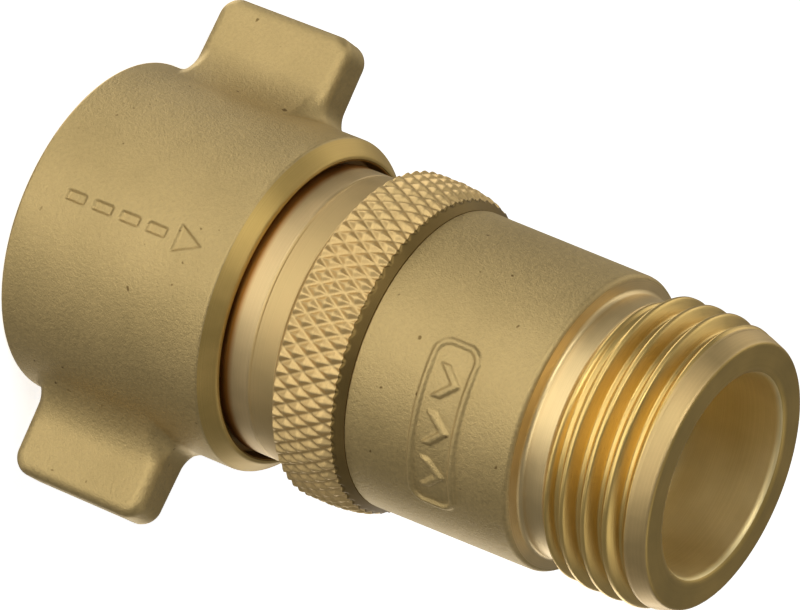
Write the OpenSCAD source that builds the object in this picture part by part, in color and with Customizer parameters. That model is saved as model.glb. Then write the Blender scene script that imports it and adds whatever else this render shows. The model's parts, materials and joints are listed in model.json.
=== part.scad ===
// In-line water pressure regulator for a 3/4 inch hose line.
// Z is the flow axis: the winged inlet nut stands at z = 0, the threaded outlet rim is on top.
// The wings point along X. All lengths are in millimetres.

/* [Hose thread] */
// Pitch of the hose thread, 11.5 turns to the inch
thread_pitch = 2.209; // [2.1:0.001:2.3]
// Crest diameter of the outlet's outer thread
outlet_crest_d = 26.99; // [26.6:0.01:27.2]
// Root diameter of the outlet's outer thread
outlet_root_d = 24.5; // [23.8:0.01:24.6]
// Crest (smallest) diameter of the inlet nut's inner thread
inlet_crest_d = 24.6; // [24.4:0.01:24.8]
// Root (largest) diameter of the inlet nut's inner thread
inlet_root_d = 27.3; // [27.2:0.01:27.6]
// Number of ridges drawn for each thread
ridge_count = 4; // [3:1:4]

/* [Outlet body] */
// Height of the whole regulator
total_h = 67.5; // [67:0.1:69]
// Barrel diameter beside the knurled collar
barrel_low_d = 28.2; // [27.6:0.1:29]
// Barrel diameter beside the outlet thread
barrel_top_d = 27.8; // [27.4:0.1:28]
// Outlet bore, which is also the piston's cylinder
bore_d = 18.88; // [18.8:0.01:19.1]
// Outer diameter of the outlet rim's flat face
rim_d = 24.6; // [23:0.1:24.8]
// Height of the raised flow mark above the barrel
mark_relief = 0.25; // [0.1:0.05:0.5]

/* [Inlet cap] */
// Diameter of the turned neck between nut and collar
neck_d = 27.5; // [27:0.1:28]
// Diameter over the knurled collar
collar_d = 31.2; // [30:0.1:31.5]
// Width of the knurled band
collar_w = 5.6; // [5:0.1:6.5]

/* [Swivel nut] */
// Nut diameter
nut_d = 32; // [31.4:0.1:33]
// Nut length
nut_h = 23.5; // [23:0.1:23.6]
// Distance over the two wing tips
wing_span = 48; // [44:0.5:50]
// Length of a wing along the axis
wing_h = 14.6; // [12:0.1:14.8]
// Thickness of a wing
wing_t = 4.6; // [4:0.1:5.5]

/* [Regulating parts] */
// Diameter of the piston's hollow stem
stem_d = 10; // [9.6:0.1:10]
// Flow hole through the piston
flow_d = 6.6; // [6:0.1:6.8]
// Gap between the open piston and the seat disc
seat_gap = 1.6; // [1.2:0.1:1.8]
// Wire diameter of the regulating spring
wire_d = 1.6; // [1.2:0.1:1.8]
// Mean coil diameter of the regulating spring
coil_d = 14.4; // [14:0.1:14.8]
// Turns of the regulating spring
coil_turns = 5.5; // [4.5:0.5:5.5]

/* [Hidden] */

$fn = 96;
slip = 0.05;                        // radial gap of a running fit
cut = 1;                            // how far a cutter runs past a face

brass_cast = "#b9a573";
brass_turned = "#d2a050";
steel = "#b8bcc0";
rubber = "#222222";

// Heights of the inlet end
washer_z = 10.9;
washer_h = 2.9;
flange_z = washer_z + washer_h + 0.1;
flange_h = 2.3;
web_z = flange_z + flange_h + 0.9;  // inner face of the nut's web
recess_z = nut_h - 2;               // floor of the recess in the nut's outer face

// Heights of the inlet cap
cap_z = nut_h - 0.7;                // the neck starts inside the nut's recess
bore_z = nut_h + 0.7;               // the steps of the cap's bore are counted from here
neck_end_z = nut_h + 5.5;
knurl_z = neck_end_z + 1.2;
knurl_end_z = knurl_z + collar_w;
joint_z = knurl_end_z + 1.1;        // where cap and barrel meet
tail_end_z = bore_z + 6;
guide_z = bore_z + 8.2;
gland_z = guide_z + 3.2;
cup_z = gland_z + 2.2;
cap_end_z = cup_z + 5;

// Radii of the inlet parts
journal_r = 10.12;
tail_bore_r = 7.4;
tail_thread_r = 8.95;
spigot_r = 11.6;
seal_bore_r = 12;

// Heights of the seat and the piston
seat_z = bore_z + 2.6;
disc_z = seat_z + 1.1;
disc_h = 1.8;
stem_z = disc_z + disc_h + seat_gap;
seat_cap_z = cup_z + 0.05;          // the spring's lower washer
spring_z = seat_cap_z + 0.75;
head_z = 51;
head_h = 5.6;
ring_z = head_z + head_h + 0.15;    // the retaining ring
ring_h = 1.1;

// Heights of the outlet end
shoulder_z = total_h - 13.5;
first_ridge_z = total_h - 9;

// Thread flanks stand 30 degrees off square
function flank(depth) = depth * tan(30);
function ridges(z, r_root, r_crest) =
    let (flat = thread_pitch / 16, foot = flat + flank(abs(r_crest - r_root)))
    [for (i = [0:ridge_count - 1])
        for (p = [[r_root, -foot], [r_crest, -flat], [r_crest, flat], [r_root, foot]])
            [p[0], z + i * thread_pitch + p[1]]];

// Points along an arc about c from angle a to angle b
function arc(c, r, a, b, n = 8) =
    [for (i = [0:n]) let (t = a + (b - a) * i / n) c + r * [cos(t), sin(t)]];

function flip_y(points) = [for (i = [len(points) - 1:-1:0]) [points[i][0], -points[i][1]]];

module lathe(points) rotate_extrude() polygon(points);

module tube(r, r_in, z, h) {
    translate([0, 0, z]) difference() {
        cylinder(r = r, h = h);
        translate([0, 0, -cut]) cylinder(r = r_in, h = h + 2 * cut);
    }
}

module o_ring(r_mid, r_section, z) {
    rotate_extrude() translate([r_mid, z]) circle(r = r_section, $fn = 32);
}

// ---- swivel nut ----

// One wing seen along the axis: it flares into the nut and has a rounded tip
function wing_half() =
    let (
        flare = 4.5, tip = 1.6, r = nut_d / 2, half = wing_t / 2, reach = wing_span / 2,
        cx = sqrt(pow(r + flare, 2) - pow(half + flare, 2)),
        turn = atan2(half + flare, cx)
    )
    concat(
        [[r / 2, half]],
        arc([cx, half + flare], flare, 180 + turn, 270),
        arc([reach - tip, half - tip], tip, 90, 0)
    );

// The same wing seen from the side, x outward and y along the axis
function wing_side() =
    let (foot = 1.6, corner = 1.9, r = nut_d / 2 - 0.2, reach = wing_span / 2)
    concat(
        [[r / 2, -foot]],
        arc([r + foot, -foot], foot, 180, 90),
        arc([reach - corner, corner], corner, -90, 0),
        arc([reach - corner, wing_h - corner], corner, 0, 90),
        arc([r + foot, wing_h + foot], foot, 270, 180),
        [[r / 2, wing_h + foot]]
    );

module wing(z) {
    translate([0, 0, z]) intersection() {
        translate([0, 0, -4]) linear_extrude(wing_h + 8)
            polygon(concat(wing_half(), flip_y(wing_half())));
        rotate([90, 0, 0]) linear_extrude(nut_d, center = true) polygon(wing_side());
    }
}

// Dashes and an arrow head sunk into the nut, pointing with the flow
module nut_mark() {
    depth = 0.28;
    for (i = [0:3])
        translate([-0.45, -nut_d / 2 - 1, 4.4 + i * 3]) cube([0.9, 1 + depth, 2]);
    translate([0, -nut_d / 2 + depth, 16.6]) rotate([90, 0, 0])
        linear_extrude(1 + depth) polygon([[-1.3, 0], [1.3, 0], [0, 2.6]]);
}

module swivel_nut() {
    r = nut_d / 2;
    crest = inlet_crest_d / 2;
    root = inlet_root_d / 2;
    wing_z = 2.2;
    edge = 0.6;
    recess_r = 14.15;
    color(brass_cast) difference() {
        union() {
            lathe([[0, 0], [r - edge, 0], [r, edge], [r, nut_h - 1.5], [r - 1.35, nut_h],
                [0, nut_h]]);
            wing(wing_z);
            mirror([1, 0, 0]) wing(wing_z);
        }
        lathe(concat(
            [[0, -cut], [root + 0.5, -cut], [root + 0.5, 0], [root, 0.5]],
            ridges(2.3, root, crest),
            [[root, web_z], [journal_r + slip + 0.03, web_z],
                [journal_r + slip + 0.03, recess_z], [recess_r, recess_z],
                [recess_r, nut_h + cut], [0, nut_h + cut]]
        ));
        nut_mark();
    }
}

// A flat ring that slips past the thread, with four set-back ears that catch behind it
module hose_washer() {
    ring_r = 12.1;
    ear_w = 3;
    ear_reach = 13.3;
    ear_set_back = 1.4;
    color(rubber) {
        tube(ring_r, 8.9, washer_z, washer_h);
        for (a = [45:90:315])
            rotate(a) translate([ring_r - 0.5, -ear_w / 2, washer_z + ear_set_back])
                cube([ear_reach - ring_r + 0.5, ear_w, washer_h - ear_set_back]);
    }
}

// ---- inlet tail, which carries the nut ----

module inlet_tail() {
    flange_r = 12.1;
    slot_w = 2.4;
    color(brass_turned) difference() {
        lathe([[tail_bore_r, flange_z + 1.3], [8.8, flange_z + 1.3], [8.8, flange_z],
            [flange_r, flange_z], [flange_r, flange_z + flange_h],
            [journal_r, flange_z + flange_h], [journal_r, bore_z + 0.8],
            [tail_thread_r, bore_z + 0.8], [tail_thread_r, tail_end_z],
            [tail_bore_r, tail_end_z]]);
        translate([-slot_w / 2, -tail_bore_r - 0.8, flange_z])
            cube([slot_w, 2 * tail_bore_r + 1.6, 5]);
    }
}

module swivel_washer() {
    color("white") tube(12, journal_r + slip, flange_z + flange_h + 0.08, 0.74);
}

module tail_seal() {
    color(rubber) o_ring(9.63, 0.62, bore_z + 1.6);
}

module screen_rim() {
    color(steel) tube(8.75, 7.9, flange_z + 0.05, 1.2);
}

module screen_mesh() {
    step = 1.3;
    bar = 0.35;
    reach = 6;
    color(steel) translate([0, 0, flange_z + 0.4]) linear_extrude(0.4) {
        difference() {
            circle(r = 7.85);
            circle(r = 7.2);
        }
        intersection() {
            circle(r = 7.5);
            for (i = [-reach + 1:reach - 1]) {
                translate([i * step - bar / 2, -8]) square([bar, 16]);
                translate([-8, i * step - bar / 2]) square([16, bar]);
            }
        }
    }
}

// ---- inlet cap with the knurled collar ----

module inlet_cap() {
    neck_r = neck_d / 2;
    collar_r = collar_d / 2;
    line_z = bore_z + 1.8;          // a fine line turned into the neck
    line_depth = 0.08;
    color(brass_turned) lathe([
        [10.3, cap_z], [neck_r - 0.3, cap_z], [neck_r, cap_z + 0.3],
        [neck_r, line_z], [neck_r - line_depth, line_z + 0.1],
        [neck_r - line_depth, line_z + 0.35], [neck_r, line_z + 0.45],
        [neck_r, neck_end_z], [collar_r, knurl_z], [collar_r, knurl_z + collar_w / 2],
        [collar_r - 0.2, knurl_end_z - 1.2], [collar_r - 0.6, knurl_end_z],
        [barrel_low_d / 2, joint_z], [10.8, joint_z], [10.8, joint_z + 1.95],
        [spigot_r, joint_z + 1.95], [spigot_r, cap_end_z], [8.9, cap_end_z],
        [8.9, cup_z], [6.8, cup_z], [6.8, gland_z], [stem_d / 2 + slip, gland_z],
        [stem_d / 2 + slip, guide_z], [tail_bore_r, guide_z],
        [tail_bore_r, tail_end_z + 0.2], [9, tail_end_z + 0.2], [9, bore_z + 2.4],
        [10.3, bore_z + 2.4]
    ]);
}

// ---- seat ----

module seat_carrier() {
    hub_r = 4.6;
    arm_w = 1.6;
    color(brass_turned) difference() {
        union() {
            tube(tail_bore_r - 0.02, 6.3, seat_z, 2.4);
            translate([0, 0, seat_z]) cylinder(r = hub_r, h = 2.4);
            for (a = [0:120:240])
                rotate(a) translate([3, -arm_w / 2, seat_z]) cube([3.8, arm_w, 1.6]);
        }
        translate([0, 0, disc_z]) cylinder(r = 3.95, h = 3);
        translate([0, 0, seat_z - cut]) cylinder(r = 1, h = 3);
    }
}

module seat_disc() {
    color(rubber) tube(3.9, 1.05, disc_z, disc_h);
}

module seat_washer() {
    color(steel) tube(2.2, 1.05, disc_z + disc_h, 0.3);
}

module seat_screw() {
    head_z = disc_z + disc_h + 0.3;
    color(steel) difference() {
        union() {
            translate([0, 0, seat_z + 0.2]) cylinder(r = 0.98, h = head_z - seat_z);
            translate([0, 0, head_z]) cylinder(r = 1.9, h = 1);
        }
        translate([-2, -0.25, head_z + 0.5]) cube([4, 0.5, cut]);
    }
}

// ---- spring and piston ----

module stem_seal() {
    color(rubber) o_ring(5.93, 0.8, gland_z + 0.85);
}

module stem_backup_ring() {
    color("white") tube(6.7, stem_d / 2 + 0.08, gland_z + 1.67, 0.48);
}

module spring_seat() {
    color(steel) tube(8.8, 5.2, seat_cap_z, 0.75);
}

// The wire's centre line: one close turn at each end and an even pitch between them
function coil_z(turn) =
    let (
        close = wire_d * 1.03,
        length = head_z - 0.1 - spring_z - wire_d,
        pitch = (length - 2 * close) / (coil_turns - 2)
    )
    spring_z + wire_d / 2 +
        (turn < 1 ? turn * close
        : turn < coil_turns - 1 ? close + (turn - 1) * pitch
        : length - (coil_turns - turn) * close);

module spring() {
    steps = 16;
    sides = 10;
    rings = coil_turns * steps;
    points = [for (i = [0:rings]) for (j = [0:sides - 1])
        let (
            a = 360 * i / steps, b = 360 * j / sides,
            r = coil_d / 2 + wire_d / 2 * cos(b)
        )
        [r * cos(a), r * sin(a), coil_z(i / steps) + wire_d / 2 * sin(b)]];
    sleeve = [for (i = [0:rings - 1]) for (j = [0:sides - 1])
        let (k = (j + 1) % sides)
        [i * sides + j, i * sides + k, (i + 1) * sides + k, (i + 1) * sides + j]];
    start = [for (j = [sides - 1:-1:0]) j];
    finish = [for (j = [0:sides - 1]) rings * sides + j];
    color(steel) polyhedron(points, concat(sleeve, [start, finish]));
}

module piston() {
    r = stem_d / 2;
    hole = flow_d / 2;
    head_r = bore_d / 2 - 0.08;
    groove_z = head_z + 1.6;
    top = head_z + head_h;
    color(brass_turned) lathe([
        [hole, stem_z], [hole + 0.45, stem_z], [r, stem_z + 1.2], [r, head_z],
        [head_r, head_z], [head_r, groove_z], [7.7, groove_z], [7.7, groove_z + 2.3],
        [head_r, groove_z + 2.3], [head_r, top - 0.4], [head_r - 0.4, top],
        [hole + 2.6, top], [hole, top - 2]
    ]);
}

module head_seal() {
    color(rubber) o_ring(8.56, 0.85, head_z + 2.75);
}

// Inner circlip: a split ring with an eye at each end
module retaining_ring() {
    outer = 9.9;
    eye_r = 1.3;
    eye_at = 7.9;
    split = 24;
    color(steel) translate([0, 0, ring_z]) linear_extrude(ring_h) difference() {
        union() {
            difference() {
                circle(r = outer);
                circle(r = 8.3);
                polygon([[0, 0], [20, 20 * tan(split)], [20, -20 * tan(split)]]);
            }
            for (side = [-1, 1])
                rotate(side * (split + 5)) translate([eye_at, 0]) circle(r = eye_r);
        }
        for (side = [-1, 1])
            rotate(side * (split + 5)) translate([eye_at, 0]) circle(r = 0.55);
    }
}

// ---- outlet body ----

module body_seal() {
    color(rubber) o_ring(11.4, 0.57, joint_z + 1);
}

// A framed row of three chevrons, drawn flat: x runs around the barrel, y with the flow
module flow_mark() {
    long = 16.4;
    wide = 4.8;
    line = 0.5;
    end_r = 1.6;
    difference() {
        rounded(long, wide, end_r);
        rounded(long - 2 * line, wide - 2 * line, end_r - line);
    }
    for (x = [-4.4, 0, 4.4])
        translate([x, 0])
            polygon([[-1.5, -1.1], [0, 0.5], [1.5, -1.1], [1.5, -0.2], [0, 1.4], [-1.5, -0.2]]);
}

module rounded(long, wide, r) {
    square([long, wide - 2 * r], center = true);
    square([long - 2 * r, wide], center = true);
    for (x = [-1, 1]) for (y = [-1, 1])
        translate([x * (long / 2 - r), y * (wide / 2 - r)]) circle(r = r, $fn = 32);
}

module outlet_body() {
    crest = outlet_crest_d / 2;
    root = outlet_root_d / 2;
    bore = bore_d / 2;
    low = barrel_low_d / 2;
    top = barrel_top_d / 2;
    last_crest_z = first_ridge_z + (ridge_count - 1) * thread_pitch + thread_pitch / 16;
    nose = 13.1;                    // where the lead-in cone starts
    mark_z = 46.1;
    mark_turn = -61;
    color(brass_cast) {
        lathe(concat(
            [[seal_bore_r, joint_z], [low, joint_z], [top, shoulder_z - 0.6],
                [top - 0.2, shoulder_z - 0.2], [top - 0.7, shoulder_z + 0.1],
                [root + 0.3, shoulder_z + 0.1], [root, shoulder_z + 0.4]],
            [for (p = ridges(first_ridge_z, root, crest)) if (p[1] <= last_crest_z + 0.01) p],
            [[nose, last_crest_z + flank(crest - nose)], [rim_d / 2 + 0.1, total_h - 0.3],
                [rim_d / 2 - 0.2, total_h], [bore + 0.2, total_h], [bore, total_h - 0.2],
                [bore, ring_z + ring_h + 0.1], [10, ring_z + ring_h + 0.1],
                [10, ring_z - 0.1], [bore, ring_z - 0.1], [bore, cap_end_z + 0.4],
                [spigot_r + slip, cap_end_z + 0.4], [spigot_r + slip, joint_z + 1.95],
                [seal_bore_r, joint_z + 1.95]]
        ));
        intersection() {
            tube(top + 0.1 + mark_relief, top - 0.6, joint_z + 1, shoulder_z - joint_z - 2);
            rotate(mark_turn) translate([0, 0, mark_z]) rotate([90, 0, 90])
                linear_extrude(low + 2) flow_mark();
        }
    }
}

swivel_nut();
hose_washer();
inlet_tail();
swivel_washer();
tail_seal();
screen_rim();
screen_mesh();
inlet_cap();
seat_carrier();
seat_disc();
seat_washer();
seat_screw();
stem_seal();
stem_backup_ring();
spring_seat();
spring();
piston();
head_seal();
retaining_ring();
body_seal();
outlet_body();
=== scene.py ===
"""A brass in-line water pressure regulator. Lengths in the mesh code are millimetres."""
import json
import math

import bpy
import numpy as np
from mathutils import Matrix, Vector


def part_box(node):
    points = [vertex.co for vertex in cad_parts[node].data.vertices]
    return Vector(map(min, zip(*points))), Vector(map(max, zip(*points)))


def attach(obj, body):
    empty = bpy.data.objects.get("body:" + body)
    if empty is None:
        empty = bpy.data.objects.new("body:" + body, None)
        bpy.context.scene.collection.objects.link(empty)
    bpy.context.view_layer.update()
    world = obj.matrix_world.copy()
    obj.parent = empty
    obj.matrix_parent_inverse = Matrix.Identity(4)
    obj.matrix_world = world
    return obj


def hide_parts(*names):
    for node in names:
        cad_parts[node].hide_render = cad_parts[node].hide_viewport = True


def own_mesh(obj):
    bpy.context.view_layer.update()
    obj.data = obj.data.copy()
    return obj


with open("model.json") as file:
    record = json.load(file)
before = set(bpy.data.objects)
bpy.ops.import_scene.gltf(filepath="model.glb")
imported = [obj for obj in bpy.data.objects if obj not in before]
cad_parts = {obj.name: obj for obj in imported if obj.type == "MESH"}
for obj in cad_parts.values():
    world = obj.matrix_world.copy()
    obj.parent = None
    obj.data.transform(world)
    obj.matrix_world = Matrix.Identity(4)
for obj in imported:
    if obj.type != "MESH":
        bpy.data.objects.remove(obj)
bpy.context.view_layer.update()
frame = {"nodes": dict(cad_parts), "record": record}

MM = 0.001
TURN = 2 * math.pi

# ---- sizes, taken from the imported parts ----


def node_box(name):
    """Lowest and highest corner of a CAD node in millimetres."""
    low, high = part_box(name)
    return [c / MM for c in low], [c / MM for c in high]


def node_z(name):
    low, high = node_box(name)
    return low[2], high[2]


TOTAL_H = node_z("outlet_body")[1]
BODY_Z = node_z("outlet_body")[0]
CAP_Z, CAP_TOP_Z = node_z("inlet_cap")
COLLAR_R = node_box("inlet_cap")[1][0]
NUT_R = node_box("swivel_nut")[1][1]
NUT_H = node_z("swivel_nut")[1]
WING_REACH = node_box("swivel_nut")[1][0]
BORE_Z = NUT_H + 0.7                     # the steps of the cap's bore are counted from here
TAIL_TOP_Z = node_z("inlet_tail")[1]
RIDGE_PITCH = 2.209                      # 11.5 threads to the inch


# ---- small geometry helpers ----


def smoothstep(low, high, x):
    t = np.clip((x - low) / (high - low), 0, 1)
    return t * t * (3 - 2 * t)


def smooth_max(a, b, k):
    h = np.clip(k - np.abs(a - b), 0, None) / k
    return np.maximum(a, b) + h * h * k / 4


def smooth_min(a, b, k):
    return -smooth_max(-a, -b, k)


def rounded_profile(points, steps=4):
    """A closed outline of (r, z, corner radius) with its corners turned into arcs.

    Each arc has a point just before and after it, so that smooth shading stays on the arc.
    """
    hold = 0.04
    out = []
    count = len(points)
    for i, (r, z, radius) in enumerate(points):
        here = np.array([r, z], float)
        before = np.array(points[i - 1][:2], float)
        after = np.array(points[(i + 1) % count][:2], float)
        u = (before - here) / np.linalg.norm(before - here)
        v = (after - here) / np.linalg.norm(after - here)
        cos_half = math.sqrt(max(0.0, (1 + float(u @ v)) / 2))
        sin_half = math.sqrt(max(1e-9, 1 - cos_half * cos_half))
        if radius <= 0 or cos_half < 1e-3:
            out.append(here)
            continue
        reach = radius * cos_half / sin_half
        start, end = here + u * reach, here + v * reach
        centre = here + (u + v) / np.linalg.norm(u + v) * radius / sin_half
        out.append(start + u * hold)
        a, b = start - centre, end - centre
        whole = math.acos(np.clip(a @ b / (radius * radius), -1, 1))
        for k in range(steps + 1):
            t = k / steps
            out.append(centre + (a * math.sin((1 - t) * whole) + b * math.sin(t * whole)) / math.sin(whole))
        out.append(end + v * hold)
    return np.array(out)


def refine(profile, longest_step, closed=True):
    """Splits an outline's stretches; longest_step(a, b) is the step between its points a and b."""
    ends = np.roll(profile, -1, axis=0) if closed else profile[1:]
    fine = []
    for a, b in zip(profile, ends):
        pieces = max(1, math.ceil(np.linalg.norm(b - a) / longest_step(a, b)))
        fine += [a + (b - a) * k / pieces for k in range(pieces)]
    return np.array(fine if closed else fine + [profile[-1]])


def polygon_distance(x, y, corners):
    """Signed distance to a polygon, negative inside."""
    best = np.full(x.shape, np.inf)
    inside = np.zeros(x.shape, bool)
    for (ax, ay), (bx, by) in zip(corners, corners[1:] + corners[:1]):
        ex, ey = bx - ax, by - ay
        t = np.clip(((x - ax) * ex + (y - ay) * ey) / (ex * ex + ey * ey), 0, 1)
        best = np.minimum(best, np.hypot(x - ax - t * ex, y - ay - t * ey))
        if ay != by:
            inside ^= ((ay > y) != (by > y)) & (x < ax + (y - ay) * ex / ey)
    return np.where(inside, -best, best)


def box_distance(x, y, half_x, half_y, corner=0.0):
    """Signed distance to a rectangle with rounded corners, negative inside."""
    dx = np.abs(x) - half_x + corner
    dy = np.abs(y) - half_y + corner
    return np.hypot(np.maximum(dx, 0), np.maximum(dy, 0)) + np.minimum(np.maximum(dx, dy), 0) - corner


def angle_apart(angle, middle):
    return (angle - middle + math.pi) % TURN - math.pi


def spaced_angles(zones, step):
    """Column angles once around: step apart, and closer inside each (middle, half width, step)."""
    angles = []
    angle = 0.0
    while angle < TURN - step / 3:
        angles.append(angle)
        near = [s for middle, half, s in zones if abs(angle_apart(angle, middle)) <= half]
        angle += min(near + [step])
    return np.array(angles)


# ---- meshes ----


def add_mesh(name, points, faces, materials, face_material=None):
    """A smooth-shaded object from points in millimetres."""
    mesh = bpy.data.meshes.new(name)
    points = np.asarray(points).reshape(-1, 3) * MM
    mesh.from_pydata(points.tolist(), [], [tuple(f) for f in faces])
    for material in materials:
        mesh.materials.append(material)
    if face_material is not None:
        mesh.polygons.foreach_set("material_index", np.asarray(face_material, np.int32))
    mesh.polygons.foreach_set("use_smooth", [True] * len(mesh.polygons))
    mesh.validate()
    mesh.update()
    piece = bpy.data.objects.new(name, mesh)
    bpy.context.scene.collection.objects.link(piece)
    return piece


def stands_for(piece, node, body):
    """The piece replaces a CAD node and moves with its body."""
    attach(piece, body)
    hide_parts(node)
    return piece


def ring_faces(rows, columns, closed_rows=True):
    """Quads between rows of columns points, closed around, and across the rows too for a ring."""
    last = rows if closed_rows else rows - 1
    i, j = np.meshgrid(np.arange(last), np.arange(columns), indexing="ij")
    here, above = i * columns, (i + 1) % rows * columns
    right = (j + 1) % columns
    return np.stack([here + j, here + right, above + right, above + j], -1).reshape(-1, 4)


def spread(profile, angles):
    """Radius and height of each point of an outline turned about the axis, in rows."""
    return profile[:, :1] + 0 * angles, profile[:, 1:] + 0 * angles


def wrap(r, z, angles):
    """Rows of points from their radius, height and angle."""
    return np.stack([r * np.cos(angles), r * np.sin(angles), z], -1)


def revolve(profile, angles):
    """Rows of points, one row for each point of the outline."""
    return wrap(*spread(profile, angles), angles)


def turned(name, profile, material, node, body, columns=192):
    """A plain lathe-turned piece."""
    angles = np.arange(columns) * TURN / columns
    piece = add_mesh(name, revolve(profile, angles), ring_faces(len(profile), columns), [material])
    return stands_for(piece, node, body)


# ---- procedural materials ----


class Nodes:
    """Short spellings for building one node material."""

    def __init__(self, name):
        self.material = bpy.data.materials.new(name)
        self.material.use_nodes = True
        self.tree = self.material.node_tree
        self.shader = next(n for n in self.tree.nodes if n.type == "BSDF_PRINCIPLED")
        coordinates = self.add("ShaderNodeTexCoord")
        self.place = coordinates.outputs["Object"]

    def add(self, kind, **settings):
        node = self.tree.nodes.new(kind)
        for key, value in settings.items():
            setattr(node, key, value)
        return node

    def link(self, source, target):
        self.tree.links.new(source, target)

    def set(self, values):
        for name, value in values.items():
            self.shader.inputs[name].default_value = value

    def math(self, operation, a, b=None):
        node = self.add("ShaderNodeMath", operation=operation)
        for socket, value in zip(node.inputs, (a, b)):
            if value is None:
                continue
            if isinstance(value, (int, float)):
                socket.default_value = value
            else:
                self.link(value, socket)
        return node.outputs[0]

    def noise(self, size, detail=2.0, rough=0.5, place=None):
        """Noise with features about size millimetres across."""
        node = self.add("ShaderNodeTexNoise")
        node.inputs["Scale"].default_value = 1 / (size * MM)
        node.inputs["Detail"].default_value = detail
        node.inputs["Roughness"].default_value = rough
        self.link(place or self.place, node.inputs["Vector"])
        return node.outputs["Fac"]

    def ramp(self, factor, *stops):
        node = self.add("ShaderNodeValToRGB")
        ramp = node.color_ramp
        while len(ramp.elements) < len(stops):
            ramp.elements.new(0.5)
        for element, (place, colour) in zip(ramp.elements, stops):
            element.position = place
            element.color = (*colour, 1)
        self.link(factor, node.inputs[0])
        return node.outputs["Color"]

    def range(self, value, from_low, from_high, to_low, to_high):
        node = self.add("ShaderNodeMapRange")
        for socket, number in zip(list(node.inputs)[1:5], (from_low, from_high, to_low, to_high)):
            socket.default_value = number
        self.link(value, node.inputs[0])
        return node.outputs[0]

    def mix(self, factor, a, b, blend="MIX"):
        node = self.add("ShaderNodeMix", data_type="RGBA", blend_type=blend)
        for socket, value in ((node.inputs[0], factor), (node.inputs[6], a), (node.inputs[7], b)):
            if isinstance(value, (int, float)):
                socket.default_value = value
            elif isinstance(value, tuple):
                socket.default_value = (*value, 1)
            else:
                self.link(value, socket)
        return node.outputs[2]

    def bump(self, height, depth, strength=1.0, normal=None):
        """Bump whose height of one stands for depth millimetres."""
        node = self.add("ShaderNodeBump")
        node.inputs["Strength"].default_value = strength
        node.inputs["Distance"].default_value = depth * MM
        self.link(height, node.inputs["Height"])
        if normal is not None:
            self.link(normal, node.inputs["Normal"])
        return node.outputs["Normal"]

    def colour(self, source):
        self.link(source, self.shader.inputs["Base Color"])

    def roughness(self, source):
        self.link(source, self.shader.inputs["Roughness"])

    def normal(self, source):
        self.link(source, self.shader.inputs["Normal"])


def cast_brass():
    """Blasted cast brass: a fine sandy grain, faint mottling, a few dark pits and a soft sheen."""
    n = Nodes("cast_brass")
    n.set({"Metallic": 1.0})
    cloud = n.noise(9, 3, 0.6)
    grain = n.noise(0.34, 3, 0.7)
    speck = n.noise(0.14, 2, 0.5)
    tone = n.ramp(cloud, (0.3, (0.53, 0.395, 0.172)), (0.7, (0.60, 0.448, 0.200)))
    shade = n.ramp(grain, (0.32, (0.84, 0.83, 0.81)), (0.68, (1, 1, 1)))
    pits = n.ramp(n.noise(0.9, 1, 0.4), (0.19, (0.45, 0.40, 0.34)), (0.235, (1, 1, 1)))
    n.colour(n.mix(1.0, n.mix(1.0, tone, shade, "MULTIPLY"), pits, "MULTIPLY"))
    n.roughness(n.range(grain, 0.3, 0.7, 0.50, 0.62))
    coarse = n.bump(grain, 0.07, 0.75)
    n.normal(n.bump(speck, 0.035, 0.6, coarse))
    return n.material


def turned_brass(name, dull, bright, low, high, shade_heights=None):
    """Machined brass: fine turning rings about the axis and patchy polish.

    Where the last argument gives two heights, the colour is darkened brown below the first and left as is
    above the second: painted shade.
    """
    n = Nodes(name)
    n.set({"Metallic": 1.0})
    split = n.add("ShaderNodeSeparateXYZ")
    n.link(n.place, split.inputs[0])
    x_squared = n.math("MULTIPLY", split.outputs["X"], split.outputs["X"])
    y_squared = n.math("MULTIPLY", split.outputs["Y"], split.outputs["Y"])
    radius = n.math("POWER", n.math("ADD", x_squared, y_squared), 0.5)
    joined = n.add("ShaderNodeCombineXYZ")
    n.link(radius, joined.inputs["X"])
    n.link(split.outputs["Z"], joined.inputs["Z"])
    rings = n.noise(0.11, 2, 0.6, joined.outputs[0])
    patches = n.noise(5, 3, 0.6)
    tint = n.ramp(patches, (0.3, dull), (0.7, bright))
    colour = n.mix(1.0, tint, n.ramp(rings, (0.3, (0.90, 0.89, 0.87)), (0.7, (1, 1, 1))), "MULTIPLY")
    # Painted shade: the colour darkens to brown below the given heights, standing in for shade.
    if shade_heights:
        out_of_shade = n.range(split.outputs["Z"], shade_heights[0] * MM, shade_heights[1] * MM, 0, 1)
        stain_and_shade = n.ramp(out_of_shade, (0.4, (0.66, 0.38, 0.14)), (1, (1, 1, 1)))
        colour = n.mix(1.0, colour, stain_and_shade, "MULTIPLY")
    n.colour(colour)
    n.roughness(n.range(patches, 0.3, 0.7, low, high))
    n.normal(n.bump(rings, 0.012, 0.8))
    return n.material


def rubber():
    """Moulded black rubber with a faint bloom."""
    n = Nodes("rubber")
    bloom = n.noise(1.6, 3, 0.6)
    n.colour(n.ramp(bloom, (0.3, (0.018, 0.018, 0.018)), (0.75, (0.045, 0.044, 0.042))))
    n.roughness(n.range(bloom, 0.3, 0.7, 0.55, 0.75))
    n.normal(n.bump(n.noise(0.25, 2, 0.5), 0.02, 0.5))
    return n.material


def steel():
    """Bright spring steel with a drawn surface and slight stains."""
    n = Nodes("steel")
    n.set({"Metallic": 1.0})
    stain_and_shade = n.noise(1.4, 3, 0.6)
    n.colour(n.ramp(stain_and_shade, (0.3, (0.52, 0.52, 0.53)), (0.7, (0.68, 0.68, 0.69))))
    n.roughness(n.range(stain_and_shade, 0.3, 0.7, 0.22, 0.38))
    n.normal(n.bump(n.noise(0.12, 2, 0.5), 0.006, 0.6))
    return n.material


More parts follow.
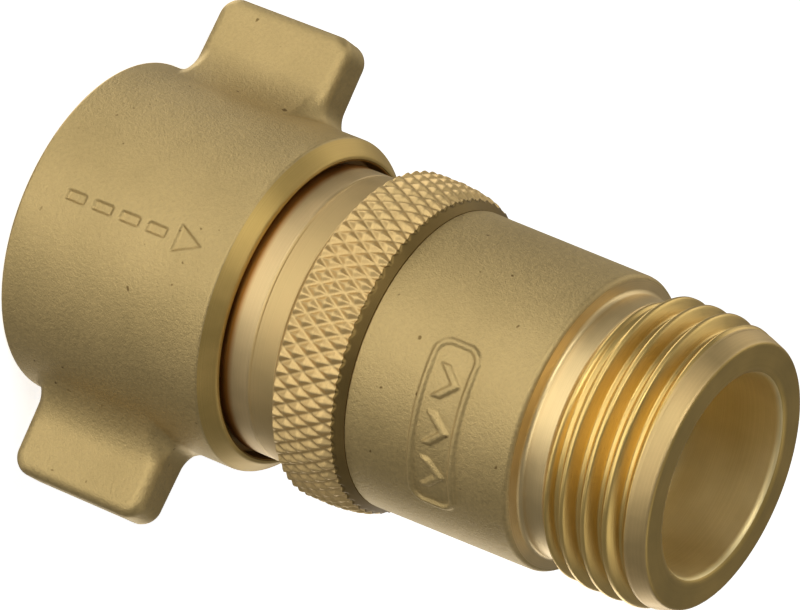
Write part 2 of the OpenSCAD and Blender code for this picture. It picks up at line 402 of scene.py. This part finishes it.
def plastic():
    """Off-white acetal, waxy and slightly translucent."""
    n = Nodes("plastic")
    n.set({"Subsurface Weight": 0.15, "Subsurface Scale": 0.0006})
    cloud = n.noise(2.5, 2, 0.5)
    n.colour(n.ramp(cloud, (0.3, (0.74, 0.73, 0.68)), (0.7, (0.82, 0.81, 0.77))))
    n.roughness(n.range(cloud, 0.3, 0.7, 0.35, 0.45))
    n.normal(n.bump(n.noise(0.3, 2, 0.5), 0.008, 0.5))
    return n.material


CAST = cast_brass()
TURNED = turned_brass("turned_brass", (0.60, 0.435, 0.190), (0.68, 0.490, 0.220), 0.46, 0.56)
BRIGHT = turned_brass("bright_brass", (0.73, 0.550, 0.265), (0.81, 0.615, 0.305), 0.38, 0.48)
KNURLED = turned_brass("knurled_brass", (0.69, 0.500, 0.220), (0.76, 0.550, 0.245), 0.50, 0.60)
GOLDEN = turned_brass("golden_brass", (0.70, 0.490, 0.160), (0.78, 0.545, 0.190), 0.34, 0.44)
OLIVE = turned_brass("olive_brass", (0.55, 0.382, 0.120), (0.62, 0.432, 0.145), 0.44, 0.54)
# A dark brass for the collar's outlet bevel: painted shade where the collar meets the barrel.
SHADED_BEVEL = turned_brass("shaded_bevel_brass", (0.20, 0.135, 0.045), (0.27, 0.180, 0.060), 0.50, 0.60)
# neck_brass is a lighter copy of the turned brass: a painted highlight on the neck's first band.
NECK = turned_brass("neck_brass", (0.66, 0.490, 0.240), (0.75, 0.555, 0.280), 0.44, 0.54,
                    # the heights of the painted shade where the neck goes into the nut's recess: brown
                    # below the first, unshaded above the second
                    (NUT_H - 0.1, NUT_H + 0.9))
# bore_brass is paler and brighter than the other turned brass: painted light inside the bore, also used on
# the piston.
BORE = turned_brass("bore_brass", (0.85, 0.690, 0.345), (0.95, 0.785, 0.415), 0.50, 0.58)
RUBBER = rubber()
STEEL = steel()
PLASTIC = plastic()


# ---- hose threads ----


def thread_height(angle, z, first, last, depth, fade=0.8):
    """Height of a right-hand 60 degree hose thread that runs out at both ends."""
    crest_half, soft = 0.18, 0.12
    flank = math.tan(math.radians(30))
    turn = z / RIDGE_PITCH - angle / TURN
    off_crest = np.abs(turn - np.round(turn)) * RIDGE_PITCH
    slope = (crest_half + depth * flank - off_crest) / flank
    height = smooth_min(smooth_max(slope, np.zeros_like(slope), soft), np.full_like(slope, depth), soft)
    run_in = smoothstep(first, first + fade, z) * (1 - smoothstep(last - fade, last, z))
    return height * run_in


# ---- outlet body ----

MARK_Z = 46.1
MARK_ANGLE = math.radians(-61)
MARK_LONG = 16.4
MARK_WIDE = 4.8


def flow_mark_distance(x, y):
    """Distance to a rounded frame around three chevrons."""
    line, end_r, spacing = 0.5, 1.6, 4.4
    chevron = [(-1.5, -1.1), (0, 0.5), (1.5, -1.1), (1.5, -0.2), (0, 1.4), (-1.5, -0.2)]
    outer = box_distance(x, y, MARK_LONG / 2, MARK_WIDE / 2, end_r)
    distance = np.maximum(outer, -outer - line)
    for middle in (-spacing, 0, spacing):
        distance = np.minimum(distance, polygon_distance(x - middle, y, chevron))
    return distance


def make_outlet_body():
    """Cast barrel with its raised mark, a turned relief, the hose thread and the open bore."""
    barrel_low, barrel_top = 14.1, 13.9
    root, crest = 12.25, 13.495
    nose_r, rim_r = 13.05, 12.35
    shoulder = TOTAL_H - 13.5
    nose = TOTAL_H - 2.0
    bore, groove, socket, seal = 9.44, 10.0, 11.65, 12.0
    groove_low, groove_high = 56.65, 57.95
    socket_top, seal_top = 43.2, 39.3
    mark_relief = 0.25
    profile = rounded_profile([
        (seal, BODY_Z, 0.1), (barrel_low, BODY_Z, 0.15), (barrel_top, shoulder - 0.1, 0.55),
        (root + 0.1, shoulder + 0.35, 0.5), (root, nose - 0.5, 0.1), (nose_r, nose, 0.5),
        (rim_r, TOTAL_H, 0.4), (bore, TOTAL_H, 0.7), (bore, groove_high, 0.06),
        (groove, groove_high, 0.06), (groove, groove_low, 0.06), (bore, groove_low, 0.06),
        (bore, socket_top, 0.1), (socket, socket_top, 0.1), (socket, seal_top, 0.06),
        (seal, seal_top, 0.06),
    ])

    def longest_step(a, b):
        """Fine on the thread and under the mark, coarse elsewhere."""
        r, z = (a + b) / 2
        if z > shoulder + 0.3 and r > 11.5:
            return 0.085
        if r > 13.7 and abs(z - MARK_Z) < 12:
            return 0.13 if abs(z - MARK_Z) < 2.9 or abs(a[1] - b[1]) > 3 else 1.0
        return 9.0

    profile = refine(profile, longest_step)
    angles = spaced_angles([(MARK_ANGLE, math.radians(37), math.radians(0.5))], math.radians(1.25))
    r, z = spread(profile, angles)
    turn = angles + 0 * r
    distance = flow_mark_distance(angle_apart(turn, MARK_ANGLE) * barrel_low, z - MARK_Z)
    on_barrel = (r > 13.7) & (z < shoulder - 1)
    r = r + np.where(on_barrel, mark_relief * (1 - smoothstep(-0.14, 0.14, distance)), 0)
    ridge = root + thread_height(turn, z, shoulder + 2.4, TOTAL_H - 0.6, crest - root, 1.6)
    nose_line = rim_r + (TOTAL_H - z) * 0.35
    ridge = smooth_min(ridge, nose_line, 0.5)
    on_thread = (r > 11.9) & (z > shoulder + 1.2) & (z < TOTAL_H - 1)
    r = np.where(on_thread, np.maximum(r, ridge), r)

    row_r, row_z = profile.T
    row_cast = (row_r > 13.3) & (row_z < shoulder - 0.02)
    row_thread = (row_z > shoulder + 2.9) & (row_z < nose) & ~row_cast
    # The rows inside the bore take bore_brass, whose brighter tint is painted light.
    row_inside = (row_r < 12.1) & (row_z < TOTAL_H - 0.15)
    row_rim = row_z > TOTAL_H - 0.12
    kind = np.where((row_z > nose) & ~row_rim, 5, 1)
    for number, rows in ((4, row_rim), (2, row_thread), (3, row_inside), (0, row_cast)):
        kind[rows] = number
    piece = add_mesh("outlet_body_detail", wrap(r, z, angles), ring_faces(*r.shape),
                     [CAST, BRIGHT, GOLDEN, BORE, OLIVE, TURNED], np.repeat(kind, len(angles)))
    return stands_for(piece, "outlet_body", "regulator")


# ---- inlet cap with its diamond knurl ----

KNURL_COUNT = 67
KNURL_AXIAL = 2.51
KNURL_DEPTH = 0.36


def knurl_height(angle, z):
    """Worn pyramids left between two families of soft V grooves."""
    around, along = angle * KNURL_COUNT / TURN, z / KNURL_AXIAL
    height = 1.0
    for lean in (around + along, around - along):
        off_groove = np.abs(lean - np.round(lean)) * 2
        height = np.minimum(height, off_groove)
    return KNURL_DEPTH * smoothstep(-0.12, 0.92, height)


def make_inlet_cap():
    """Turned neck, knurled collar and the hidden spigot, with the stepped bore through them."""
    neck, foot = 13.75, 14.1
    knurl_low, knurl_high = 30.2, 36.0
    crown = [(COLLAR_R, knurl_low), (COLLAR_R, knurl_low + 2.8), (COLLAR_R - 0.2, knurl_high - 1.2),
             (COLLAR_R - 0.6, knurl_high)]
    line, line_depth = BORE_Z + 1.8, 0.06     # a fine line turned into the neck
    counterbore, thread, chamber, stem, gland, cup = 10.3, 9.0, 7.4, 5.05, 6.8, 8.9
    guide_z, gland_z, cup_z = 32.4, 35.6, 37.8
    thread_z = BORE_Z + 2.4
    chamber_z = TAIL_TOP_Z + 0.2
    seal_neck, spigot, spigot_z = 10.8, 11.6, BODY_Z + 1.95
    profile = rounded_profile([
        (counterbore, CAP_Z, 0.15), (neck, CAP_Z, 0.2), (neck, line, 0.06),
        (neck - line_depth, line + 0.14, 0.08), (neck - line_depth, line + 0.31, 0.08),
        (neck, line + 0.45, 0.06), (neck, 29.0, 0.25), (COLLAR_R, knurl_low, 0.1),
        *((r, z, 1.5) for r, z in crown[1:-1]), (*crown[-1], 0.25), (foot, BODY_Z, 0.1),
        (seal_neck, BODY_Z, 0.06), (seal_neck, spigot_z, 0.06), (spigot, spigot_z, 0.06),
        (spigot, CAP_TOP_Z, 0.2), (cup, CAP_TOP_Z, 0.15), (cup, cup_z, 0.1), (gland, cup_z, 0.1),
        (gland, gland_z, 0.06), (stem, gland_z, 0.1), (stem, guide_z, 0.1), (chamber, guide_z, 0.1),
        (chamber, chamber_z, 0.1), (thread, chamber_z, 0.06), (thread, thread_z, 0.06),
        (counterbore, thread_z, 0.06),
    ])

    def longest_step(a, b):
        on_collar = min(a[0], b[0]) > neck + 0.2 or max(a[0], b[0]) > neck + 0.5
        return KNURL_AXIAL / 24 if on_collar else math.inf

    profile = refine(profile, longest_step)
    columns = KNURL_COUNT * 12
    angles = np.arange(columns) * TURN / columns
    r, z = spread(profile, angles)
    crest = np.interp(z, [c[1] for c in crown], [c[0] for c in crown])
    knurled = crest - KNURL_DEPTH + knurl_height(angles + 0 * r, z - knurl_low)
    on_band = (z > knurl_low - 1.2) & (z < knurl_high + 0.6) & (r > neck + 0.2)
    r = np.where(on_band, np.minimum(r, knurled), r)

    row_r, row_z = profile.T
    # The collar's outlet bevel takes the dark brass: painted shade in the corner against the barrel.
    end_face = (row_z > knurl_high - 0.05) & (row_r > 14)
    knurl = (row_z > knurl_low - 0.6) & (row_r > 14.6)
    # The neck's first band takes neck_brass: its lighter tint is a painted highlight, and its foot has
    # painted shade.
    first_band = (row_z < line + 0.1) & (row_r > neck - 0.3)
    kind = np.where(end_face, 1, np.where(knurl, 2, np.where(first_band, 3, 0)))
    piece = add_mesh("inlet_cap_detail", wrap(r, z, angles), ring_faces(*r.shape),
                     [TURNED, SHADED_BEVEL, KNURLED, NECK], np.repeat(kind, columns))
    return stands_for(piece, "inlet_cap", "regulator")


# ---- swivel nut ----

WING_LOW_Z, WING_HIGH_Z = 2.2, 16.8
WING_HALF = 2.3
SKIN_LOW_Z, SKIN_HIGH_Z = 0.9, 20.1


def wing_distance(x, y, z):
    """Both wings: a slab with rounded corners and softened edges."""
    edge, corner, inner = 1.1, 1.9, 8.0
    middle_x, half_x = (WING_REACH + inner) / 2, (WING_REACH - inner) / 2
    middle_z, half_z = (WING_LOW_Z + WING_HIGH_Z) / 2, (WING_HIGH_Z - WING_LOW_Z) / 2
    side = box_distance(np.abs(x) - middle_x, z - middle_z, half_x, half_z, corner)
    thick = WING_HALF + 0.012 * np.clip(WING_REACH - np.abs(x), 0, 8) ** 1.5    # thicker at the root
    across = np.abs(y) - thick
    a, b = side + edge, across + edge
    return np.hypot(np.maximum(a, 0), np.maximum(b, 0)) + np.minimum(np.maximum(a, b), 0) - edge


def nut_distance(x, y, z):
    """The cast skin of the nut: its cylinder with the wings filleted on."""
    barrel = np.hypot(x, y) - NUT_R
    wing = wing_distance(x, y, z)
    middle_z, half_z = (WING_LOW_Z + WING_HIGH_Z) / 2, (WING_HIGH_Z - WING_LOW_Z) / 2
    off_side = np.abs(z - middle_z) - half_z    # the fillet tightens past the wing's two ends
    fillet = 3.6 - np.where(z < middle_z, 2.45, 2.0) * smoothstep(-1.6, 0.4, off_side)
    u = np.maximum(fillet - barrel, 0)
    v = np.maximum(fillet - wing, 0)
    return np.maximum(fillet, np.minimum(barrel, wing)) - np.hypot(u, v)


def nut_gradient(points):
    step = 0.01
    out = []
    for axis in range(3):
        shift = np.zeros(3)
        shift[axis] = step
        out.append((nut_distance(*(points + shift).T) - nut_distance(*(points - shift).T)) / (2 * step))
    return np.stack(out, -1)


def skin_nets(angles, heights, radii):
    """Surface nets over the nut's skin on a grid of angle, height and radius.

    Where the skin is a plain cylinder the net is one regular grid, so its open edges at the
    first and last height meet lathe-turned rows column by column.
    """
    wide = np.append(angles, angles[0] + TURN)
    a, z, r = np.meshgrid(wide, heights, radii, indexing="ij")
    value = nut_distance(r * np.cos(a), r * np.sin(a), z)
    inside = value < 0
    shape = tuple(n - 1 for n in value.shape)
    total = np.zeros((*shape, 3))
    count = np.zeros(shape)
    corners = [(i, j, k) for i in (0, 1) for j in (0, 1) for k in (0, 1)]

    def part(array, corner):
        return array[tuple(slice(c, c + n) for c, n in zip(corner, shape))]

    for low in corners:
        for axis in range(3):
            if low[axis]:
                continue
            high = tuple(c + (axis == d) for d, c in enumerate(low))
            f0, f1 = part(value, low), part(value, high)
            crossed = part(inside, low) != part(inside, high)
            t = np.where(crossed, f0 / np.where(crossed, f0 - f1, 1), 0)
            for d, grid in enumerate((a, z, r)):
                g0, g1 = part(grid, low), part(grid, high)
                total[..., d] += np.where(crossed, g0 + t * (g1 - g0), 0)
            count += crossed
    used = count > 0
    number = np.full(shape, -1)
    number[used] = np.arange(used.sum())
    where = total[used] / count[used][:, None]
    points = wrap(where[:, 2], where[:, 1], where[:, 0])
    faces = []
    columns = shape[0]
    for axis in range(3):
        low = [slice(0, n) for n in inside.shape]
        high = list(low)
        low[axis], high[axis] = slice(0, inside.shape[axis] - 1), slice(1, inside.shape[axis])
        i, j, k = np.nonzero(inside[tuple(low)] != inside[tuple(high)])
        flip = inside[tuple(high)][i, j, k]
        others = [d for d in range(3) if d != axis]
        good = i < columns
        for d in others:
            index = (i, j, k)[d]
            if d != 0:
                good &= (index > 0) & (index < shape[d])
        i, j, k, flip = i[good], j[good], k[good], flip[good]
        quad = []
        for du, dv in ((0, 0), (1, 0), (1, 1), (0, 1)):
            index = [i, j, k]
            index[others[0]] = index[others[0]] - du
            index[others[1]] = index[others[1]] - dv
            index[0] = index[0] % columns
            quad.append(number[tuple(index)])
        quad = np.stack(quad, -1)
        if axis == 1:
            flip = ~flip
        quad[flip] = quad[flip][:, ::-1]
        faces.append(quad)
    first = [number[i, 0][number[i, 0] >= 0][0] for i in range(columns)]
    last = [number[i, -1][number[i, -1] >= 0][0] for i in range(columns)]
    for _ in range(4):
        slope = nut_gradient(points)
        move = nut_distance(*points.T)[:, None] * slope / np.maximum((slope * slope).sum(-1), 0.05)[:, None]
        points = points - np.clip(move, -0.15, 0.15)
    return points, np.concatenate(faces), first, last


def nut_mark_distance(x, z):
    """Distance to the row of dashes and the arrow head that point with the flow."""
    head_half, head_low, head_tip = 1.3, 16.6, 19.2
    dash_wide, dash_long, dash_corner, first_dash, dash_pitch = 0.9, 2.0, 0.15, 5.4, 3
    distance = polygon_distance(x, z, [(-head_half, head_low), (head_half, head_low), (0, head_tip)])
    for i in range(4):
        off_middle = z - first_dash - dash_pitch * i
        dash = box_distance(x, off_middle, dash_wide / 2, dash_long / 2, dash_corner)
        distance = np.minimum(distance, dash)
    return distance


def make_swivel_nut():
    """Winged nut: a cast skin from surface nets, joined to turned rows for its lip, bore and thread."""
    mark_angle, mark_depth, mark_reach = -math.pi / 2, 0.28, 3
    wing_half, wing_step, mark_half, mark_step, plain_step = np.radians([21, 0.72, 7, 0.4, 1.3])
    grid_angles = spaced_angles([
        (0, wing_half, wing_step), (math.pi, wing_half, wing_step), (mark_angle, mark_half, mark_step),
    ], plain_step)
    heights = np.linspace(SKIN_LOW_Z, SKIN_HIGH_Z, 140)
    radii = np.arange(14.9, WING_REACH + 0.6, 0.25)
    skin, faces, first, last = skin_nets(grid_angles, heights, radii)
    angles = np.arctan2(skin[first][:, 1], skin[first][:, 0])
    turn = np.arctan2(skin[:, 1], skin[:, 0])
    x = angle_apart(turn, mark_angle) * NUT_R
    sunk = mark_depth * (1 - smoothstep(-0.1, 0.12, nut_mark_distance(x, skin[:, 2])))
    sunk[np.abs(x) > mark_reach] = 0
    skin[:, :2] *= (1 - sunk / NUT_R)[:, None]

    root, crest, journal, recess = 13.65, 12.3, 10.2, 14.25
    web_low, web_high = 17.1, 21.5
    profile = rounded_profile([
        (NUT_R, SKIN_HIGH_Z + 0.1, 0), (NUT_R, NUT_H - 1.5, 0.35), (NUT_R - 1.35, NUT_H, 0.6),
        (recess, NUT_H, 0.12), (recess, web_high, 0.2), (journal, web_high, 0.2), (journal, web_low, 0.15),
        (root, web_low, 0.3), (root, 11.0, 0), (root, 0.55, 0.1), (root + 0.5, 0, 0.12),
        (NUT_R, 0, 0.35), (NUT_R, SKIN_LOW_Z - 0.1, 0),
    ], steps=6)

    def longest_step(a, b):
        on_thread = abs(a[0] - root) < 0.02 and abs(b[0] - root) < 0.02 and a[1] < 11.1
        return 0.1 if on_thread else math.inf

    profile = refine(profile, longest_step, closed=False)
    r, z = spread(profile, angles)
    threaded = (np.abs(r - root) < 0.02) & (z < 10.9)
    ridge = thread_height(angles + 0 * r, z, 0.9, 10.4, root - crest, 1.0)
    rows = wrap(np.where(threaded, r - ridge, r), z, angles)

    columns = len(angles)
    lathe = ring_faces(len(profile), columns, closed_rows=False) + len(skin)
    next_column = (np.arange(columns) + 1) % columns
    first, last = np.array(first), np.array(last)
    start = len(skin) + np.arange(columns)
    end = start + (len(profile) - 1) * columns
    join_top = np.stack([last, last[next_column], start[next_column], start], -1)
    join_low = np.stack([end, end[next_column], first[next_column], first], -1)
    row_cast = (profile[:-1, 0] > NUT_R - 0.1) & (profile[:-1, 1] < NUT_H - 1.4)
    row_lip = (profile[:-1, 0] > recess - 0.05) & (profile[:-1, 1] > NUT_H - 1.7)
    row_material = np.repeat(np.where(row_cast, 0, np.where(row_lip, 2, 1)), columns)
    materials = np.concatenate([np.zeros(len(faces), int), row_material, np.zeros(2 * columns, int)])
    points = np.concatenate([skin, rows.reshape(-1, 3)])
    piece = add_mesh("swivel_nut_detail", points, np.concatenate([faces, lathe, join_top, join_low]),
                     [CAST, TURNED, OLIVE], materials)
    return stands_for(piece, "swivel_nut", "nut")


# ---- washer, strainer and tail at the inlet ----


def make_hose_washer():
    """A flat ring with softened edges; four ears near its back face catch behind the thread."""
    low, high = node_z("hose_washer")
    ring_r, hole_r, ear_reach, ear_low = 12.1, 8.9, 13.3, low + 1.4
    profile = rounded_profile([
        (ring_r, low, 0.35), (ring_r, high, 0.3), (hole_r, high, 0.35), (hole_r, low, 0.35),
    ])
    profile = refine(profile, lambda a, b: 0.12 if min(a[0], b[0]) > ring_r - 0.1 else math.inf)
    columns = 360
    angles = np.arange(columns) * TURN / columns
    r, z = spread(profile, angles)
    off_ear = np.abs(angles % (math.pi / 2) - math.pi / 4) * (ring_r + ear_reach) / 2
    ear = (1 - smoothstep(1.3, 1.7, off_ear)) * smoothstep(ear_low, ear_low + 0.3, z)
    r = np.where(r > ring_r - 0.5, r + (ear_reach - ring_r) * ear, r)
    piece = add_mesh("hose_washer_detail", wrap(r, z, angles), ring_faces(*r.shape), [RUBBER])
    return stands_for(piece, "hose_washer", "nut")


def wire(path, radius, sides=8):
    """Points and faces of a round wire along a path, closed at both ends."""
    path = np.asarray(path, float)
    along = np.gradient(path, axis=0)
    along /= np.linalg.norm(along, axis=1)[:, None]
    side = np.cross(along, (0, 0, 1.0))
    side /= np.linalg.norm(side, axis=1)[:, None]
    up = np.cross(along, side)
    turn = np.arange(sides) * TURN / sides
    rings = path[:, None] + radius * (side[:, None] * np.cos(turn)[None, :, None]
                                      + up[:, None] * np.sin(turn)[None, :, None])
    faces = [tuple(f) for f in ring_faces(len(path), sides, closed_rows=False)]
    last = (len(path) - 1) * sides
    faces.append(tuple(range(sides))[::-1])
    faces.append(tuple(range(last, last + sides)))
    return rings.reshape(-1, 3), faces


def make_screen_mesh():
    """Plain-woven wire cloth: each wire passes over and under its neighbours."""
    low, high = node_z("screen_mesh")
    middle, half = (low + high) / 2, (high - low) / 2
    pitch, wire_r, reach = 0.82, 0.105, 7.72
    hem_out, hem_in, hem_corner, hem_columns = 7.84, 7.35, 0.12, 128
    swing, steps_per_wire = half - wire_r - 0.005, 8
    points, faces = [], []
    count = int(reach / pitch)
    for family in (0, 1):
        for i in range(-count, count + 1):
            offset = i * pitch
            end = math.sqrt(reach * reach - offset * offset)
            steps = int(end * 2 / pitch * steps_per_wire)
            t = np.linspace(-end, end, max(steps_per_wire, steps))
            wave = swing * np.cos(math.pi * (t / pitch + i + family))
            straight = np.full_like(t, offset)
            path = np.stack([t, straight, middle + wave] if family else [straight, t, middle + wave], -1)
            p, f = wire(path, wire_r)
            faces += [tuple(v + sum(map(len, points)) for v in face) for face in f]
            points.append(p)
    start = sum(map(len, points))
    hem = rounded_profile([(hem_out, low, hem_corner), (hem_out, high, hem_corner),
                           (hem_in, high, hem_corner), (hem_in, low, hem_corner)])
    angles = np.arange(hem_columns) * TURN / hem_columns
    faces += [tuple(v + start for v in face) for face in ring_faces(len(hem), hem_columns)]
    points.append(revolve(hem, angles).reshape(-1, 3))
    piece = add_mesh("screen_mesh_detail", np.concatenate(points), faces, [STEEL])
    return stands_for(piece, "screen_mesh", "regulator")


def make_screen_rim():
    """A rolled sheet rim: the seam of the roll shows as a groove around its face."""
    low, high = node_z("screen_rim")
    outer, inner, seam, seam_half, seam_depth = 8.74, 7.9, 8.22, 0.06, 0.18
    return turned("screen_rim_detail", rounded_profile([
        (outer, low, 0.28), (outer, high, 0.3), (inner, high, 0.3), (inner, low, 0.25),
        (seam - seam_half, low, 0.08), (seam, low + seam_depth, 0.05), (seam + seam_half, low, 0.08),
    ]), STEEL, "screen_rim", "regulator", 160)


def make_inlet_tail():
    """The flanged tube that the nut turns on, with the two slots that a key drives it by."""
    low, high = node_z("inlet_tail")
    flange, journal, thread, bore, seat = 12.1, 10.12, 8.95, 7.4, 8.8
    flange_top, shoulder, seat_z, slot_end = low + 2.3, BORE_Z + 0.8, low + 1.3, low + 5
    slot_half, slot_depth = 1.2, 0.75
    profile = rounded_profile([
        (flange, low, 0.3), (flange, flange_top, 0.3), (journal, flange_top, 0.12),
        (journal, shoulder, 0.2), (thread, shoulder, 0.1), (thread, high, 0.35), (bore, high, 0.25),
        (bore, slot_end + 0.15, 0.05), (bore, slot_end - 0.15, 0.05), (bore, seat_z, 0.15),
        (seat, seat_z, 0.06), (seat, low, 0.25),
    ])
    angles = spaced_angles([(side * math.pi / 2, math.radians(12), math.radians(0.7)) for side in (-1, 1)],
                           math.radians(2))
    r, z = spread(profile, angles)
    slotted = 1 - smoothstep(slot_half - 0.05, slot_half + 0.1, np.abs(8 * np.cos(angles)))
    inside = (r < bore + 0.35) & (z < slot_end)
    r = np.where(inside, r + slot_depth * slotted, r)
    piece = add_mesh("inlet_tail_detail", wrap(r, z, angles), ring_faces(*r.shape), [TURNED])
    return stands_for(piece, "inlet_tail", "regulator")


# ---- piston and its circlip at the outlet ----


def make_piston():
    """Hollow stem and grooved head, with a fine line turned into the head's face."""
    low, high = node_z("piston")
    hole, stem, head, groove = 3.3, 5.0, 9.36, 7.7
    head_low = high - 5.6
    groove_low, groove_high = head_low + 1.6, head_low + 3.9
    line_out, line_in, line_z = 7.6, 7.22, high - 0.09
    # The piston takes bore_brass, whose brighter tint is painted light.
    return turned("piston_detail", rounded_profile([
        (hole, low, 0.06), (hole + 0.45, low, 0.1), (stem, low + 1.2, 0.3), (stem, head_low, 0.4),
        (head, head_low, 0.3), (head, groove_low, 0.1), (groove, groove_low, 0.1),
        (groove, groove_high, 0.1), (head, groove_high, 0.1), (head, high - 0.4, 0.12),
        (head - 0.4, high, 0.12), (line_out, high, 0.04), (line_out - 0.08, line_z, 0.03),
        (line_in + 0.08, line_z, 0.03), (line_in, high, 0.04), (hole + 2.6, high, 0.3),
        (hole, high - 2, 0.3),
    ]), BORE, "piston", "piston")


def make_spring():
    """A coil spring with one close turn at each end."""
    low, high = node_z("spring")
    wire_r, coil_r, turns, steps_per_turn, sides = 0.8, 7.2, 5.5, 64, 20
    close = 2.06 * wire_r                     # the rise of the first and the last turn
    turn = np.linspace(0, turns, int(turns * steps_per_turn) + 1)
    start, end = low + wire_r, high - wire_r
    z = np.interp(turn, [0, 1, turns - 1, turns], [start, start + close, end - close, end])
    path = np.stack([coil_r * np.cos(turn * TURN), coil_r * np.sin(turn * TURN), z], -1)
    piece = add_mesh("spring_detail", *wire(path, wire_r, sides), [STEEL])
    stands_for(piece, "spring", "regulator")
    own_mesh(piece)


def make_retaining_ring():
    """A stamped circlip: its section is a rounded rectangle, with a drilled eye at each end."""
    low, high = node_z("retaining_ring")
    outer, inner, bevel = 9.88, 8.3, 0.18
    split = math.radians(24)
    eye_at, eye_r, eye_hole, eye_columns = 7.9, 1.3, 0.55, 40

    def section(r_in, r_out):
        return rounded_profile([(r_out, low, bevel), (r_out, high, bevel), (r_in, high, bevel),
                                (r_in, low, bevel)], 3)

    angles = np.linspace(split + 0.02, TURN - split - 0.02, 150)
    arc = revolve(section(inner, outer), angles)
    rows, columns = arc.shape[:2]
    faces = [tuple(f) for f in ring_faces(rows, columns) if abs(f[0] % columns - f[1] % columns) == 1]
    faces.append(tuple(i * columns for i in range(rows)))
    faces.append(tuple(i * columns + columns - 1 for i in range(rows))[::-1])
    points = [arc.reshape(-1, 3)]
    eye = revolve(section(eye_hole, eye_r), np.arange(eye_columns) * TURN / eye_columns)
    for side in (-1, 1):
        turn = side * (split + math.radians(5))
        start = sum(map(len, points))
        points.append(eye.reshape(-1, 3) + (eye_at * math.cos(turn), eye_at * math.sin(turn), 0))
        faces += [tuple(v + start for v in face) for face in ring_faces(*eye.shape[:2])]
    piece = add_mesh("retaining_ring_detail", np.concatenate(points), faces, [STEEL])
    return stands_for(piece, "retaining_ring", "regulator")


make_outlet_body()
make_inlet_cap()
make_swivel_nut()
make_hose_washer()
make_screen_mesh()
make_screen_rim()
make_inlet_tail()
make_piston()
make_spring()
make_retaining_ring()


# ---- the CAD pieces that keep their shape ----

SLOT_MATERIALS = {"cast_brass": CAST, "turned_brass": TURNED, "rubber": RUBBER, "steel": STEEL,
                  "plastic": PLASTIC}

for subpart in frame["record"]["subparts"]:
    cad = frame["nodes"][subpart["node"]]
    cad.data.materials.clear()
    cad.data.materials.append(SLOT_MATERIALS[subpart["material_slot"]])


# ---- floor, light and camera ----

CENTRE = Vector((0, 0, TOTAL_H / 2)) * MM


def point_at(thing, target, roll=0.0):
    """Turns a light or camera towards a point, then rolls it about its line of sight."""
    forward = (target - thing.location).normalized()
    right = forward.cross(Vector((0, 0, 1))).normalized()
    up = right.cross(forward)
    up_rolled = up * math.cos(roll) + right * math.sin(roll)
    right_rolled = forward.cross(up_rolled)
    turned_to = Matrix((right_rolled, up_rolled, -forward)).transposed()
    thing.matrix_world = Matrix.Translation(thing.location) @ turned_to.to_4x4()


def around(azimuth, elevation, distance):
    """A place seen from the centre: azimuth 0 is in front, at -Y, and 90 is at +X."""
    a, e = math.radians(azimuth), math.radians(elevation)
    return Vector((math.sin(a) * math.cos(e), -math.cos(a) * math.cos(e), math.sin(e))) * distance


def add_floor():
    """A pale floor just under the regulator, lit from within so that it stays nearly white."""
    half, cells, drop = 4.0, 8, 0.0001
    steps = [-half + 2 * half * i / cells for i in range(cells + 1)]
    points = np.array([(x, y, -drop) for y in steps for x in steps]) / MM
    corners = [j * (cells + 1) + i for j in range(cells) for i in range(cells)]
    faces = [(c, c + 1, c + cells + 2, c + cells + 1) for c in corners]
    n = Nodes("pale_floor")
    n.set({"Roughness": 0.9, "Base Color": (0.93, 0.93, 0.92, 1),
           "Emission Color": (1, 1, 1, 1), "Emission Strength": 0.75})
    floor = add_mesh("floor", points, faces, [n.material])
    floor.visible_glossy = False
    floor.visible_shadow = False


def add_soft_box(name, azimuth, elevation, width, height, power):
    """A soft box that faces the regulator."""
    distance = 0.9
    data = bpy.data.lights.new(name, "AREA")
    data.shape = "RECTANGLE"
    data.size = width
    data.size_y = height
    data.energy = power
    light = bpy.data.objects.new(name, data)
    light.visible_camera = False
    bpy.context.scene.collection.objects.link(light)
    light.location = CENTRE + around(azimuth, elevation, distance)
    bpy.context.view_layer.update()
    point_at(light, CENTRE)


def add_camera():
    """A long lens, turned so that the regulator lies across the picture, outlet to the lower right."""
    data = bpy.data.cameras.new("camera")
    data.lens = 270
    data.sensor_width = 36
    data.clip_start = 0.01
    camera = bpy.data.objects.new("camera", data)
    bpy.context.scene.collection.objects.link(camera)
    target = CENTRE + Vector((-3.36, 0, -2.52)) * MM
    distance, roll = 0.538, math.radians(-111.9)
    camera.location = target + around(5.5, 28.5, distance)
    bpy.context.view_layer.update()
    point_at(camera, target, roll)
    bpy.context.scene.camera = camera


add_floor()
add_soft_box("key", azimuth=-30, elevation=32, width=0.45, height=0.45, power=2.8)
add_soft_box("front_fill", azimuth=15, elevation=0, width=0.9, height=0.45, power=2.4)
add_soft_box("low_front", azimuth=-10, elevation=-28, width=1.3, height=0.45, power=3.0)
add_soft_box("left", azimuth=-120, elevation=17, width=0.45, height=0.9, power=1.6)
add_soft_box("under_left", azimuth=-100, elevation=-55, width=0.8, height=0.45, power=3.1)
add_soft_box("under_right", azimuth=60, elevation=-55, width=0.45, height=0.45, power=0.7)
add_soft_box("high_back", azimuth=120, elevation=60, width=0.45, height=0.45, power=0.6)
add_soft_box("low_back", azimuth=150, elevation=-15, width=0.45, height=0.45, power=1.6)
add_camera()

world = bpy.data.worlds.new("studio")
world.use_nodes = True
background = world.node_tree.nodes["Background"]
background.inputs["Color"].default_value = (1, 1, 1, 1)
background.inputs["Strength"].default_value = 0.2
bpy.context.scene.world = world
bpy.context.scene.view_settings.view_transform = "Standard"
